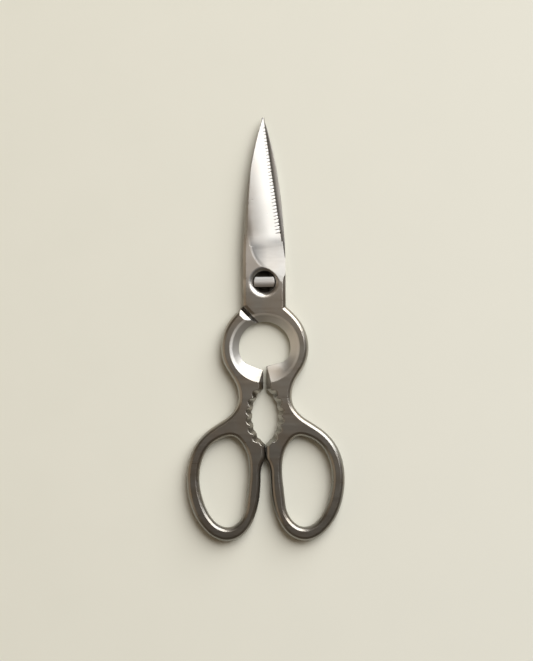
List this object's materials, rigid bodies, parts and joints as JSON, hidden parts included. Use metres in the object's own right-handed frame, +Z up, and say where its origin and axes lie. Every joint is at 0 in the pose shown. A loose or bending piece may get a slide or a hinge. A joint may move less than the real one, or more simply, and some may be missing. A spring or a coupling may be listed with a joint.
{
  "type": "kitchen shears",
  "caption": "All-steel take-apart kitchen shears lying closed: crossed ground blades on a bar-headed pivot, ring with lips, scalloped jaws and oval finger loops.",
  "frame": {"origin": "on the pivot axis, on the plane that the closed shears rest on", "axes": "+Y along the blades to the tips, +X to the right with the front half uppermost, +Z up through the thickness"},
  "size_m": [0.0766, 0.2048, 0.0068],
  "materials": {
    "front_steel": "satin ground blade, polished forging",
    "rear_steel": "satin ground blade, polished forging",
    "stud_steel": "turned and polished"
  },
  "bodies": {
    "rear_body": {"rear_half": "rear_steel", "pivot_stud": "stud_steel"},
    "front_body": {"front_half": "front_steel"}
  },
  "joints": [
    {"name": "blade_pivot", "type": "hinge", "parent": "rear_body", "child": "front_body", "pos_m": [0, 0, 0], "axis": [0, 0, 1], "range_deg": [0, 90]}
  ]
}
